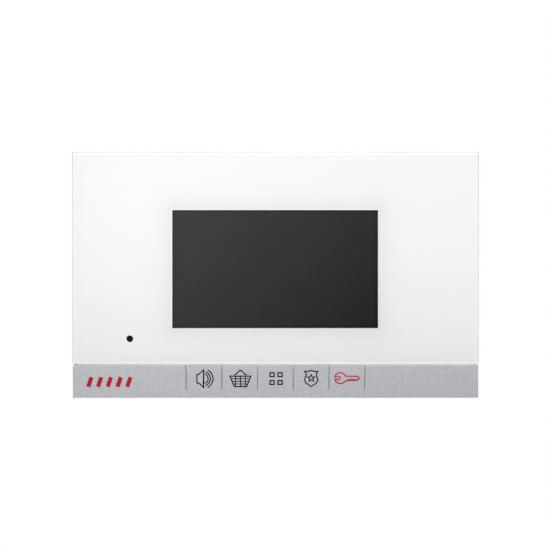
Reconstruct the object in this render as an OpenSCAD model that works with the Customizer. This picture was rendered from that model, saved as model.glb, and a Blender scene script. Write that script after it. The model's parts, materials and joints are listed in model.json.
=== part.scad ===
// Video intercom monitor with a 4.3 inch screen, hung on a steel wall bracket.
//
// Every sub-part is drawn lying on its back: x to the right, y up the wall and z away from the
// wall, with z = 0 on the wall and x = y = 0 at the centre of the bracket. upright() then stands
// the drawing on the wall, so that the screen faces -Y and +Z is up.

/* [Monitor] */
// Width of the front glass
unit_w = 192; // [190:0.5:196]
// Height of the whole monitor
unit_h = 116; // [116:0.5:119]
// Distance from the wall to the face of the glass
unit_d = 23; // [23:0.5:26]
// How far the case stays inside the outline of the glass on each side
case_inset = 0.6; // [0.4:0.1:1]
// Thickness of the moulded case walls
wall_t = 2; // [1.8:0.1:2.2]

/* [Front glass] */
// Height of the front glass
glass_h = 100; // [99:0.5:101]
// Thickness of the front glass
glass_t = 3; // [2.5:0.1:3.2]
// Width of the polished bevel on the top and the two sides
bevel_w = 2.8; // [1:0.1:3]
// Depth of the polished bevel
bevel_d = 0.5; // [0.2:0.1:0.8]
// Width of the clear window in the white print
window_w = 97.4; // [96:0.1:98]
// Height of the clear window in the white print
window_h = 55.9; // [55:0.1:57]
// Height of the window's centre above the monitor's centre
window_rise = 2.8; // [2:0.1:3.5]
// Sideways place of the window's centre
window_side = -0.2; // [-0.5:0.1:0.5]
// Radius of the microphone hole
mic_hole_r = 1.6; // [1:0.1:2]

/* [Keys] */
// Distance from one key to the next
key_pitch = 16.85; // [15.5:0.05:17.2]
// Width of the slits between the keys
slit_w = 0.5; // [0.4:0.05:0.8]
// Length of a key from its film hinge to its free edge
key_l = 11.55; // [11:0.05:11.8]
// Thickness of the key and strip moulding
strip_t = 2; // [1.8:0.1:2]
// Thickness of the film hinge at the foot of each key
film_t = 0.5; // [0.4:0.05:0.7]

/* [Wall bracket] */
// Width of the bracket plate
bracket_w = 120; // [118:1:130]
// Height of the bracket plate
bracket_h = 76; // [74:1:80]
// Thickness of the bracket's sheet steel
bracket_t = 1.2; // [1:0.1:1.5]
// Distance between the two wall box slots
wall_box_pitch = 60; // [59:0.5:61]
// Sideways distance between the corner holes
corner_pitch_x = 108; // [106:1:109]
// Upright distance between the corner holes
corner_pitch_y = 64; // [62:1:65]
// Height of the upward lip on each hook
hook_lip = 5.5; // [4.5:0.5:6]

/* [Hidden] */
$fn = 48;
eps = 0.01;

// Levels, measured from the wall.
glass_back = unit_d - glass_t;
print_t = 0.08;
print_gap = 0.02;
print_front = glass_back - print_gap;
print_back = print_front - print_t;
tape_t = 0.4;
plate_front = print_back - tape_t;
plate_back = plate_front - wall_t;
strip_front = unit_d - 0.4;
strip_back = strip_front - strip_t;
strip_wall = 1.8;
strip_rear = strip_front - 9.5;
parting = 8;
parting_gap = 0.3;
lip_gap = 0.2;
lip_t = 1.4;
lip_h = 1.6;
skirt_back = 0.4;
skirt_inset = 3.4;
skirt_t = 2.4;
floor_out = 4.2;
floor_in = floor_out + wall_t;
lcd_front = print_back - 0.9;
lcd_back = lcd_front - 3;
board_front = lcd_back - 1.5;
board_t = 1.6;
board_back = board_front - board_t;

// Outlines.
glass_top = unit_h / 2;
glass_foot = glass_top - glass_h;
strip_gap = 0.45;
strip_top = glass_foot - strip_gap;
strip_foot = -unit_h / 2;
strip_w = unit_w - 0.6;
case_w = unit_w - 2 * case_inset;
case_h = unit_h - 2 * case_inset;
strip_seat_w = strip_w - 2 * strip_wall - 0.4;
strip_seat_foot = strip_foot + strip_wall + 0.2;

// Keys and their switches.
KEY_COUNT = 5;
hinge_y = strip_top - key_l;
key_w = key_pitch - slit_w;
keys_w = KEY_COUNT * key_pitch + slit_w;
film_l = 0.6;
switch_y = hinge_y + 7.5;
nib_r = 0.8;
nib_gap = 0.05;
switch_w = 6;
switch_cover_z = board_front + 2.8;
plunger_top = board_front + 4.5;
plunger_r = 1.65;
key_x = [for (i = [0 : KEY_COUNT - 1]) (i - (KEY_COUNT - 1) / 2) * key_pitch];

// Liquid crystal display, centred behind the window.
lcd_w = 105.5;
lcd_h = 67.2;
lcd_at = [0, window_rise];
lcd_clearance = 0.4;
flex_w = 22;

// Microphone, speaker and terminals.
mic_at = [-68.8, -30.1];
mic_r = 3;
mic_boot_r = 4.5;
speaker_at = [71.5, 4];
speaker_r = 17.5;
speaker_z = floor_in + 0.6;
terminal_count = 8;
terminal_pitch = 5;
terminal_w = terminal_count * terminal_pitch + 1;
terminal_y = [8, 18];
terminal_top = board_back - 9.5;
terminal_x = [for (i = [0 : terminal_count - 1]) (i - (terminal_count - 1) / 2) * terminal_pitch];
pocket_w = 48;
pocket_h = 44;
pocket_floor = 9.5;
pocket_wall = 1.5;

// Bracket and hooks.
window_bw = 44;
window_bh = 50;
wall_box_slot = [8, 4.2];
corner_hole_r = 2.25;
hook_w = 10;
hook_out = floor_in + 1.5;
hook_play = 0.1;
hook_blank_h = 12.8;
hook_slot_drop = 8.2;
hook_pocket_h = 2.3;
hook_room_top = hook_lip + 0.7;
hook_room_h = hook_slot_drop + hook_room_top;
hook_room_y = (hook_room_top - hook_slot_drop) / 2;
hook_at = [for (y = [26, -18], x = [-44, 44]) [x, y]];

// Vents, label, capacitors and the speaker's plug.
vent_w = 1.8;
label_at = [-75, -4];
label_size = [20, 36];
can_at = [for (x = [-78, -69], y = [15, 24]) [x, y]];
socket_at = [42, -2];
plug_z = board_back - 4.2;

// Fasteners.
case_screw_at = [for (x = [-85, 85], y = [-47, 47]) [x, y]];
board_screw_at = [[-80, 41], [46, 41], [-80, -37], [46, -37], [-30, -37]];
stake_at = [for (x = [-74, -50, 50, 74]) [x, -50]];
case_screw_head_z = floor_out + 2.6;
case_boss_z = 9.1;

// ---------------------------------------------------------------- shared shapes

module upright() rotate([90, 0, 0]) children();

// A box w wide and h high, centred on at, from z0 to z1.
module slab(w, h, z0, z1, at = [0, 0]) {
  translate([at[0] - w / 2, at[1] - h / 2, z0]) cube([w, h, z1 - z0]);
}

// A box between two corners.
module block(x, y, z) {
  translate([x[0], y[0], z[0]]) cube([x[1] - x[0], y[1] - y[0], z[1] - z[0]]);
}

// A round bar along z.
module rod(r, z0, z1, at = [0, 0]) {
  translate([at[0], at[1], z0]) cylinder(r = r, h = z1 - z0);
}

// A round bar along z whose radius goes from r0 to r1.
module taper(r0, r1, z0, z1, at = [0, 0]) {
  translate([at[0], at[1], z0]) cylinder(r1 = r0, r2 = r1, h = z1 - z0);
}

// A plate with round corners.
module round_plate(w, h, r, z0, z1, at = [0, 0]) {
  translate([at[0], at[1], z0]) linear_extrude(z1 - z0) {
    square([w - 2 * r, h], center = true);
    square([w, h - 2 * r], center = true);
    for (x = [-1, 1], y = [-1, 1]) translate([x * (w / 2 - r), y * (h / 2 - r)]) circle(r);
  }
}

// A slot with round ends, l long along x and w wide.
module slot(l, w, z0, z1, at) {
  slab(l - w, w, z0, z1, at);
  for (s = [-1, 1]) rod(w / 2, z0, z1, [at[0] + s * (l - w) / 2, at[1]]);
}

// A turned shape about the z axis through at, from a list of [radius, z] points.
module turned(points, at = [0, 0]) {
  translate([at[0], at[1], 0]) rotate_extrude() polygon(points);
}

// A self-tapping screw whose head rests on z0, driven towards +z: the thread is a row of rings.
module screw(r, core_r, l, head_r, head_h, z0, at) {
  pitch = 1;
  turns = floor((l - 2.2) / pitch);
  difference() {
    union() {
      rod(core_r, z0 - eps, z0 + l - 1, at);
      taper(core_r, 0.3, z0 + l - 1, z0 + l, at);
      taper(head_r * 0.8, head_r, z0 - head_h, z0 - head_h * 0.6, at);
      rod(head_r, z0 - head_h * 0.6, z0, at);
      for (i = [0 : turns - 1]) {
        z = z0 + 1.4 + i * pitch;
        turned([[0, z - 0.4], [core_r, z - 0.3], [r, z], [core_r, z + 0.3], [0, z + 0.4]], at);
      }
    }
    for (turn = [0, 90]) translate([at[0], at[1], z0 - head_h]) rotate(turn)
      cube([head_r * 1.1, head_r * 0.28, head_h * 1.1], center = true);
  }
}

// A tube of radius r swept along a list of points, with flat ends.
function unit(v) = v / norm(v);
function tangent(p, i) = unit(p[min(i + 1, len(p) - 1)] - p[max(i - 1, 0)]);
function side(t) = unit(cross(t, [0.13, 0.21, 0.97]));
module tube(p, r, sides = 8) {
  n = len(p);
  rings = [
    for (i = [0 : n - 1], k = [0 : sides - 1])
      let (t = tangent(p, i), a = side(t), b = cross(t, a), w = 360 * k / sides)
        p[i] + r * (cos(w) * a + sin(w) * b)
  ];
  walls = [
    for (i = [0 : n - 2], k = [0 : sides - 1])
      let (a = i * sides + k, b = i * sides + (k + 1) % sides)
        [a, a + sides, b + sides, b]
  ];
  ends = [
    [for (k = [0 : sides - 1]) k],
    [for (k = [sides - 1 : -1 : 0]) (n - 1) * sides + k]
  ];
  polyhedron(rings, concat(walls, ends), convexity = 4);
}

// A point on the smooth curve through the points of p, at t from 0 to the last index.
function curve_at(p, t) =
  let (
    i = min(floor(t), len(p) - 2),
    u = t - i,
    p0 = p[max(i - 1, 0)],
    p1 = p[i],
    p2 = p[i + 1],
    p3 = p[min(i + 2, len(p) - 1)]
  )
  0.5 * (2 * p1 + (p2 - p0) * u + (2 * p0 - 5 * p1 + 4 * p2 - p3) * u * u
    + (3 * p1 - p0 - 3 * p2 + p3) * u * u * u);
function curve(p, steps) = [for (i = [0 : (len(p) - 1) * steps]) curve_at(p, i / steps)];

// ---------------------------------------------------------------- wall bracket

// One hook: a shelf that carries the monitor and a lip that keeps it on.
module bracket_hook(at) {
  block([at[0] - hook_w / 2, at[0] + hook_w / 2], [at[1] - bracket_t, at[1]], [0, hook_out]);
  block([at[0] - hook_w / 2, at[0] + hook_w / 2], [at[1] - bracket_t, at[1] + hook_lip],
    [hook_out - bracket_t, hook_out]);
}

// The hole that a hook was folded out of.
module hook_blank(at) {
  slab(hook_w + 1, hook_blank_h, -1, bracket_t + 1, [at[0], at[1] - bracket_t - hook_blank_h / 2]);
}

module wall_bracket() color("gainsboro") {
  difference() {
    round_plate(bracket_w, bracket_h, 4, 0, bracket_t);
    slab(window_bw, window_bh, -1, bracket_t + 1);
    for (x = [-1, 1], y = [-1, 1])
      rod(corner_hole_r, -1, bracket_t + 1, [x * corner_pitch_x / 2, y * corner_pitch_y / 2]);
    for (x = [-1, 1])
      slot(wall_box_slot[0], wall_box_slot[1], -1, bracket_t + 1, [x * wall_box_pitch / 2, 0]);
    for (at = hook_at) hook_blank(at);
  }
  for (at = hook_at) bracket_hook(at);
}

// ---------------------------------------------------------------- rear cover

// The case's outline shrunk by an inset on every side.
module case_slab(inset, z0, z1) {
  slab(case_w - 2 * inset, case_h - 2 * inset, z0, z1);
}

// The tapered outside of the rear cover, from the skirt at the wall to the parting line.
module cover_outside() {
  hull() {
    case_slab(skirt_inset, skirt_back, skirt_back + 0.1);
    case_slab(0, parting - 1, parting - parting_gap);
  }
}

module cover_inside() {
  hull() {
    case_slab(skirt_inset + 0.4, floor_in, floor_in + 0.1);
    case_slab(wall_t, parting - 0.5, parting + 0.2);
  }
}

// The ring that the front housing slides over.
module cover_lip() {
  difference() {
    case_slab(wall_t + lip_gap, floor_in + 0.2, parting + lip_h);
    case_slab(wall_t + lip_gap + lip_t, floor_in - 1, parting + lip_h + 1);
  }
}

// A closed pocket behind each hook slot, as deep as the hook's lip needs over its travel.
module hook_pocket(at) {
  slab(hook_w + 1 + 2, hook_room_h + 2, floor_in - 0.5, floor_in + hook_pocket_h + 1,
    [at[0], at[1] + hook_room_y]);
}

module hook_room(at) {
  slab(hook_w + 1, hook_room_h, floor_in, floor_in + hook_pocket_h, [at[0], at[1] + hook_room_y]);
  block([at[0] - hook_w / 2 - 0.5, at[0] + hook_w / 2 + 0.5],
    [at[1] - hook_slot_drop, at[1] + hook_play], [floor_out - 1, floor_in + 1]);
}

// The round sound grille behind the speaker: upright slots that follow a circle.
module speaker_grille() {
  reach = speaker_r - 4;
  for (i = [-3 : 3]) {
    x = i * 3.8;
    slab(vent_w, 2 * sqrt(reach * reach - x * x), floor_out - 1, floor_in + 1,
      [speaker_at[0] + x, speaker_at[1]]);
  }
}

// Sound and air ports through the two upright sides of the skirt.
module skirt_ports() {
  for (edge = [-1, 1], i = [-6 : 6])
    slab(14, 2, skirt_back + 0.9, floor_out - 0.5, [edge * case_w / 2, speaker_at[1] + i * 4]);
}

module back_vents() {
  for (i = [0 : 8]) slab(vent_w, 9, floor_out - 1, floor_in + 1, [-84 + i * 3.6, 34]);
}

module terminal_pocket_walls() {
  slab(pocket_w + 2 * pocket_wall, pocket_h + 2 * pocket_wall, floor_out,
    pocket_floor + pocket_wall);
}

module terminal_pocket_room() {
  slab(pocket_w, pocket_h, floor_out - 1, pocket_floor);
  block([-terminal_w / 2 - 0.7, terminal_w / 2 + 0.7], [terminal_y[0] - 0.4, terminal_y[1] + 0.4],
    [pocket_floor - 1, pocket_floor + pocket_wall + 1]);
}

module screw_column(at) rod(4.5, floor_out, case_boss_z - 0.1, at);

module screw_column_hole(at) {
  rod(3.4, floor_out - 1, case_screw_head_z, at);
  rod(1.7, floor_out, case_boss_z + 1, at);
}

// The ring on the cover's floor that centres the speaker, with three hooks over its rim.
module speaker_seat() {
  top = speaker_z + 1.6;
  turned([[speaker_r + 0.2, floor_in - 0.5], [speaker_r + 1.5, floor_in - 0.5],
    [speaker_r + 1.5, top], [speaker_r + 0.2, top]], speaker_at);
  for (turn = [90, 210, 330]) translate([speaker_at[0], speaker_at[1], 0]) rotate(turn)
    block([speaker_r - 0.8, speaker_r + 0.6], [-2.5, 2.5], [speaker_z + 0.65, top]);
}

module rear_cover() color("whitesmoke") {
  difference() {
    union() {
      difference() {
        cover_outside();
        case_slab(skirt_inset + skirt_t, -1, floor_out);
        cover_inside();
      }
      cover_lip();
      terminal_pocket_walls();
      speaker_seat();
      for (at = hook_at) hook_pocket(at);
      for (at = case_screw_at) screw_column(at);
    }
    terminal_pocket_room();
    speaker_grille();
    skirt_ports();
    back_vents();
    slab(label_size[0] + 0.4, label_size[1] + 0.4, floor_out - 1, floor_out + 0.25, label_at);
    for (at = hook_at) hook_room(at);
    for (at = case_screw_at) screw_column_hole(at);
  }
}

module label_plate() color("lightgray")
  round_plate(label_size[0], label_size[1], 1, floor_out + 0.05, floor_out + 0.25, label_at);

// ---------------------------------------------------------------- front housing

// Vertical air slots through the top wall, above the display electronics.
module top_vents() {
  for (edge = [-1, 1], i = [0 : 9])
    slab(vent_w, 10, parting + 2.2, parting + 7.2, [edge * (30 + i * 4), case_h / 2]);
}

// The frame that holds the display from its four sides.
module lcd_ribs() {
  difference() {
    slab(lcd_w + 2 * lcd_clearance + 2.4, lcd_h + 2 * lcd_clearance + 2.4, board_front + 0.3,
      plate_back + eps, lcd_at);
    slab(lcd_w + 2 * lcd_clearance, lcd_h + 2 * lcd_clearance, board_front, plate_back + 1,
      lcd_at);
    slab(flex_w + 4, 10, board_front, plate_back - 0.4, [0, lcd_at[1] - lcd_h / 2]);
  }
}

module housing_shell() {
  difference() {
    slab(case_w, case_h, parting, plate_front);
    slab(case_w - 2 * wall_t, case_h - 2 * wall_t, parting - 1, strip_rear - 1.3);
    block([-case_w / 2 + wall_t, case_w / 2 - wall_t],
      [glass_foot + 1.4, case_h / 2 - wall_t], [parting, plate_back]);
    block([-strip_seat_w / 2 + 1.8, strip_seat_w / 2 - 1.8],
      [strip_seat_foot + 1.8, glass_foot + 2], [parting, plate_back]);
    difference() {
      block([-unit_w, unit_w], [strip_foot - 1, glass_foot - 0.2], [strip_rear - 0.1, unit_d]);
      block([-strip_seat_w / 2, strip_seat_w / 2], [strip_seat_foot, glass_foot],
        [strip_rear - 1, plate_front + 1]);
    }
  }
}

module front_housing() color("white") {
  difference() {
    union() {
      housing_shell();
      lcd_ribs();
      for (at = case_screw_at) rod(3.6, case_boss_z, plate_back + eps, at);
      for (at = board_screw_at) rod(2.8, board_front, plate_back + eps, at);
    }
    slab(lcd_w + 2 * lcd_clearance, lcd_h + 2 * lcd_clearance, plate_back - 1, plate_front + 1,
      lcd_at);
    rod(mic_boot_r + 0.1, plate_back - 1, plate_front + 1, mic_at);
    top_vents();
    for (x = key_x) slab(switch_w + 1.4, switch_w + 1.4, plate_back - 1, plate_front + 1,
      [x, switch_y]);
    for (at = stake_at) rod(1.6, plate_back - 1, plate_front + 1, at);
    for (at = case_screw_at) rod(1.52, case_boss_z - 1, case_boss_z + 7.4, at);
    for (at = board_screw_at) rod(1.12, board_front - 1, board_front + 4, at);
  }
}

// ---------------------------------------------------------------- front glass

module front_glass() color("white") {
  difference() {
    hull() {
      block([-unit_w / 2, unit_w / 2], [glass_foot, glass_top], [glass_back, unit_d - bevel_d]);
      block([-unit_w / 2 + bevel_w, unit_w / 2 - bevel_w],
        [glass_foot + 0.5, glass_top - bevel_w], [unit_d - bevel_d, unit_d]);
    }
    rod(mic_hole_r, glass_back - 1, unit_d + 1, mic_at);
  }
}

module glass_print() color("ghostwhite") {
  difference() {
    block([-unit_w / 2 + 0.3, unit_w / 2 - 0.3], [glass_foot + 0.2, glass_top - 0.3],
      [print_back, print_front]);
    slab(window_w, window_h, glass_back - 1, glass_back + 1, [window_side, window_rise]);
    rod(mic_hole_r + 0.1, glass_back - 1, glass_back + 1, mic_at);
  }
}

module glass_tape() color("lightgray") {
  foot = glass_foot + 1;
  difference() {
    block([-case_w / 2 + 1, case_w / 2 - 1], [foot, case_h / 2 - 1],
      [plate_front, plate_front + tape_t]);
    block([-case_w / 2 + 10, case_w / 2 - 10], [foot + 5, case_h / 2 - 10],
      [plate_front - 1, plate_front + 1]);
  }
}

// ---------------------------------------------------------------- control strip and keys

module control_strip() color("silver") {
  rib_x = [-92, -80, -62, -46, 46, 62, 80, 92];
  difference() {
    block([-strip_w / 2, strip_w / 2], [strip_foot, strip_top], [strip_rear, strip_front]);
    block([-strip_w / 2 + strip_wall, strip_w / 2 - strip_wall],
      [strip_foot + strip_wall, strip_top + 1], [strip_rear - 1, strip_back]);
    block([-keys_w / 2, keys_w / 2], [hinge_y, strip_top + 1], [strip_back - 1, unit_d]);
    block([-keys_w / 2, keys_w / 2], [hinge_y - film_l, hinge_y + eps],
      [strip_back - 1, strip_front - film_t]);
  }
  for (x = rib_x) block([x - 0.5, x + 0.5], [strip_foot + 1, strip_top],
    [plate_front + 0.05, strip_back + eps]);
  for (at = stake_at) {
    rod(1.5, plate_back - 0.5, strip_back + eps, at);
    rod(2.3, plate_back - 0.85, plate_back - 0.05, at);
  }
}

// One key: a tongue that is thinned to a film at its foot, with a nib over its switch.
module key(i) {
  color("silver") {
    block([key_x[i] - key_w / 2, key_x[i] + key_w / 2], [hinge_y + film_l, strip_top],
      [strip_back, strip_front]);
    block([key_x[i] - key_w / 2, key_x[i] + key_w / 2], [hinge_y, hinge_y + film_l + eps],
      [strip_front - film_t, strip_front]);
    taper(nib_r, 2, plunger_top + nib_gap, strip_back + eps, [key_x[i], switch_y]);
  }
}

// ---------------------------------------------------------------- switches

module switch_bases() color("dimgray") {
  for (x = key_x) difference() {
    slab(switch_w, switch_w, board_front, switch_cover_z, [x, switch_y]);
    rod(2.3, board_front + 0.9, switch_cover_z + 1, [x, switch_y]);
  }
}

module switch_domes() color("goldenrod") {
  z = board_front + 0.95;
  for (x = key_x) turned([[0, z + 0.4], [1.2, z + 0.3], [2.1, z], [2.2, z + 0.1],
    [1.25, z + 0.4], [0, z + 0.5]], [x, switch_y]);
}

module switch_covers() color("silver") {
  for (x = key_x) difference() {
    union() {
      slab(switch_w, switch_w, switch_cover_z, switch_cover_z + 0.3, [x, switch_y]);
      for (s = [-1, 1]) slab(0.3, 3, board_front, switch_cover_z + 0.3,
        [x + s * (switch_w / 2 + 0.15), switch_y]);
    }
    rod(plunger_r + 0.08, switch_cover_z - 1, switch_cover_z + 1, [x, switch_y]);
  }
}

module plunger(i) {
  color("black") {
    rod(plunger_r, board_front + 1.95, plunger_top, [key_x[i], switch_y]);
    rod(2.1, board_front + 1.95, switch_cover_z - 0.1, [key_x[i], switch_y]);
  }
}

// ---------------------------------------------------------------- display

module lcd_frame() color("silver") {
  difference() {
    slab(lcd_w, lcd_h, lcd_back, lcd_front, lcd_at);
    slab(lcd_w - 0.6, lcd_h - 0.6, lcd_back - 1, lcd_front - 0.3, lcd_at);
    slab(98.7, 57.5, lcd_back, lcd_front + 1, lcd_at);
    slab(flex_w + 1, 2, lcd_back - 1, lcd_back + 0.8, [0, lcd_at[1] - lcd_h / 2]);
  }
}

module lcd_panel() color([0.09, 0.09, 0.1]) {
  slab(lcd_w - 1, lcd_h - 1, lcd_front - 1.4, lcd_front - 0.35, lcd_at);
  slab(98.2, 57, lcd_front - 0.35 - eps, lcd_front - 0.1, lcd_at);
}

module lcd_backlight() color("white")
  slab(lcd_w - 1, lcd_h - 1, lcd_back + 0.1, lcd_front - 1.45, lcd_at);

module lcd_gasket() color([0.13, 0.13, 0.13]) {
  difference() {
    slab(lcd_w - 1, lcd_h - 2, lcd_front, print_back, lcd_at);
    slab(99.6, 58.4, lcd_front - 1, glass_back, lcd_at);
  }
}

// Four foam pads that press the display forward from the board.
module lcd_pads() color([0.2, 0.2, 0.22])
  for (x = [-44, 44], y = [-16, 22]) slab(10, 14, board_front, lcd_back + 0.1, [x, y]);

// The flat printed circuit that leaves the display's lower edge and drops to the board.
module lcd_flex() {
  top = lcd_at[1] - lcd_h / 2;
  color("darkorange") upright_sheet(flex_w, [[top + 0.2, lcd_back + 0.4], [top - 1.2, lcd_back + 0.4],
    [top - 3.4, board_front + 0.8], [top - 6.2, board_front + 0.8], [top - 6.2, board_front + 0.65],
    [top - 3.5, board_front + 0.65], [top - 1.3, lcd_back + 0.25], [top + 0.2, lcd_back + 0.25]]);
}

// A sheet w wide whose side outline is a list of [y, z] points.
module upright_sheet(w, points) {
  translate([-w / 2, 0, 0]) rotate([90, 0, 90]) linear_extrude(w) polygon(points);
}

module lcd_connector() color("ivory") {
  at = [0, lcd_at[1] - lcd_h / 2 - 6.2];
  difference() {
    slab(flex_w + 3, 4.4, board_front, board_front + 1.3, at);
    slab(flex_w + 0.4, 4.4, board_front + 0.5, board_front + 0.95, [at[0], at[1] + 1]);
  }
}

// ---------------------------------------------------------------- circuit board

module main_board() color([0.05, 0.28, 0.16]) {
  difference() {
    block([-86, 50], [strip_seat_foot + 2.6, 46], [board_back, board_front]);
    for (at = case_screw_at) rod(4.4, board_back - 1, board_front + 1, at);
    for (at = board_screw_at) rod(1.2, board_back - 1, board_front + 1, at);
  }
}

module board_screws() color("silver")
  for (at = board_screw_at) screw(1.1, 0.85, 5, 2.2, 1.5, board_back, at);

module case_screws() color("silver")
  for (at = case_screw_at) screw(1.5, 1.15, 9, 2.9, 2.2, case_screw_head_z, at);

module capacitors() color("gainsboro")
  for (at = can_at) {
    rod(3.15, board_back - 5.4, board_back - 1.6, at);
    rod(2.95, board_back - 1.7, board_back - 1.2, at);
    taper(2.8, 3.15, board_back - 5.7, board_back - 5.4, at);
  }

module capacitor_bases() color("black")
  for (at = can_at) difference() {
    slab(6.6, 6.6, board_back - 1.2, board_back, at);
    rod(1, board_back - 2, board_back - 0.6, at);
  }

module inductors() color("dimgray")
  for (y = [-2, -13]) {
    round_plate(8, 8, 1.6, board_back - 0.8, board_back, [-66, y - 24]);
    rod(3.4, board_back - 3.3, board_back - 0.7, [-66, y - 24]);
    round_plate(8, 8, 2.4, board_back - 4, board_back - 3.2, [-66, y - 24]);
  }

module main_processor() color([0.1, 0.1, 0.1]) {
  slab(14, 14, board_back - 1.3, board_back - 0.1, [0, -6]);
  for (turn = [0 : 90 : 270], i = [-6 : 6]) translate([0, -6, 0]) rotate(turn)
    slab(0.4, 1.4, board_back - 0.5, board_back, [i, 7.6]);
}

module memory_chips() color([0.12, 0.12, 0.12])
  for (at = [[-14, 33], [6, 33], [34, 6], [-40, -2]]) {
    slab(6, 5, board_back - 1.3, board_back - 0.1, at);
    for (s = [-1, 1], i = [-1.5 : 1.5])
      slab(0.5, 1, board_back - 0.5, board_back, [at[0] + i * 1.27, at[1] + s * 3]);
  }

module crystal() color("silver")
  slot(11, 4.4, board_back - 3.2, board_back, [-12, -30]);

// ---------------------------------------------------------------- microphone

module microphone_capsule() color("silver") {
  rod(mic_r, plate_back - 0.6, plate_front - 0.4, mic_at);
  for (s = [-1, 1]) rod(0.3, board_front, plate_back - 0.6 + eps, [mic_at[0] + s * 1.2, mic_at[1]]);
}

module microphone_boot() color([0.1, 0.1, 0.1]) {
  difference() {
    union() {
      rod(mic_boot_r, board_front + 0.4, plate_front + 0.1, mic_at);
      rod(mic_boot_r + 0.8, plate_back - 1, plate_back - 0.05, mic_at);
    }
    rod(mic_r + 0.02, board_front, plate_front - 0.38, mic_at);
    rod(mic_hole_r, plate_back, plate_front + 1, mic_at);
  }
}

module microphone_mesh() color([0.08, 0.08, 0.08])
  rod(2.6, plate_front + 0.15, print_back, mic_at);

// ---------------------------------------------------------------- speaker

module speaker_gasket() color([0.1, 0.1, 0.1])
  turned([[speaker_r - 1.9, floor_in], [speaker_r - 0.1, floor_in],
    [speaker_r - 0.1, speaker_z], [speaker_r - 1.9, speaker_z]], speaker_at);

// A pressed steel dish with a flat rim; four windows let the air out behind the cone.
module speaker_basket() color("silver") {
  z = speaker_z;
  difference() {
    turned([[speaker_r - 2, z], [speaker_r, z], [speaker_r, z + 0.6], [speaker_r - 1, z + 0.6],
      [speaker_r - 4, z + 3.4], [5, z + 3.4], [5, z + 2.8], [speaker_r - 4.4, z + 2.8],
      [speaker_r - 1.6, z + 0.6], [speaker_r - 2, z + 0.6]], speaker_at);
    for (turn = [45 : 90 : 315]) translate([speaker_at[0], speaker_at[1], 0]) rotate(turn)
      slab(3.4, 5, z + 2, z + 4, [11.2, 0]);
  }
}

module speaker_cone() color([0.14, 0.14, 0.14]) {
  z = speaker_z;
  turned([[4.2, z + 1.9], [speaker_r - 5, z + 0.5], [speaker_r - 3.7, z - 0.1],
    [speaker_r - 2.1, z + 0.2], [speaker_r - 2.1, z + 0.4], [speaker_r - 3.7, z + 0.1],
    [speaker_r - 5, z + 0.7], [4.2, z + 2.2]], speaker_at);
}

module speaker_dust_cap() color([0.2, 0.2, 0.2]) {
  z = speaker_z;
  turned([[0, z + 0.4], [2.2, z + 0.7], [4, z + 1.7], [4.1, z + 2], [3.8, z + 2],
    [2.1, z + 1.1], [0, z + 0.8]], speaker_at);
}

module speaker_magnet() color("dimgray")
  rod(8, speaker_z + 3.4, speaker_z + 5.8, speaker_at);

module speaker_yoke() color("silver") {
  z = speaker_z;
  turned([[8.1, z + 3.4], [8.9, z + 3.4], [8.9, z + 7], [0, z + 7], [0, z + 5.85],
    [8.1, z + 5.85]], speaker_at);
}

module speaker_tag() color("peru")
  block([speaker_at[0] - speaker_r + 4.2, speaker_at[0] - speaker_r + 8.2],
    [speaker_at[1] - 4, speaker_at[1] + 4], [speaker_z + 3.42, speaker_z + 4.1]);

module speaker_socket() color("ivory") {
  difference() {
    slab(5, 8, plug_z + 0.6, board_back, socket_at);
    slab(3.4, 6.4, plug_z, board_back - 1, socket_at);
  }
}

module speaker_plug() color("ivory")
  slab(3.2, 6.2, plug_z, board_back - 1.05, socket_at);

// The twin lead from the plug to the speaker's tag: one smooth curve for each core.
lead_from = [socket_at[0], socket_at[1], plug_z - 0.04];
lead_to = [speaker_at[0] - speaker_r + 5, speaker_at[1], speaker_z + 4.7];
lead_route = [
  lead_from, lead_from + [0, 0, -0.5], lead_from + [1.2, 0, -1.2], lead_from + [3.4, 0.3, -1],
  [48, -4, 8.6], [51, -4.6, 9.8], [53.6, -2, 11.4], lead_to + [-2.4, -1, 0.7], lead_to
];

module speaker_lead() color("firebrick")
  for (s = [-1, 1]) tube(curve([for (p = lead_route) p + [0, 1.1 * s, 0]], 4), 0.55);

// ---------------------------------------------------------------- terminals

// Screw terminals on the back of the board: screws face the wall, wires enter from below.
module terminal_block() color("seagreen") {
  difference() {
    block([-terminal_w / 2, terminal_w / 2], terminal_y, [terminal_top, board_back]);
    block([-terminal_w, terminal_w], [terminal_y[1] - 1.6, terminal_y[1] + 1],
      [terminal_top - 1, terminal_top + 3]);
    for (x = terminal_x) {
      rod(1.95, terminal_top - 1, terminal_top + 3, [x, 12]);
      block([x - 1.8, x + 1.8], [terminal_y[0] - 1, 14.6], [terminal_top + 2.4, terminal_top + 6.2]);
    }
  }
}

module terminal_cages() color("silver")
  for (x = terminal_x) difference() {
    block([x - 1.7, x + 1.7], [9, 14.2], [terminal_top + 2.5, terminal_top + 6.1]);
    block([x - 1.3, x + 1.3], [8, 13.8], [terminal_top + 3.1, terminal_top + 5.7]);
    rod(1.05, terminal_top + 2, terminal_top + 4, [x, 12]);
  }

module terminal_screws() color("gold")
  for (x = terminal_x) difference() {
    union() {
      rod(1.8, terminal_top + 0.5, terminal_top + 2.3, [x, 12]);
      rod(1, terminal_top + 2.2, terminal_top + 4.6, [x, 12]);
    }
    slab(4, 0.5, terminal_top - 1, terminal_top + 1.3, [x, 12]);
  }

// ---------------------------------------------------------------- the assembly

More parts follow.
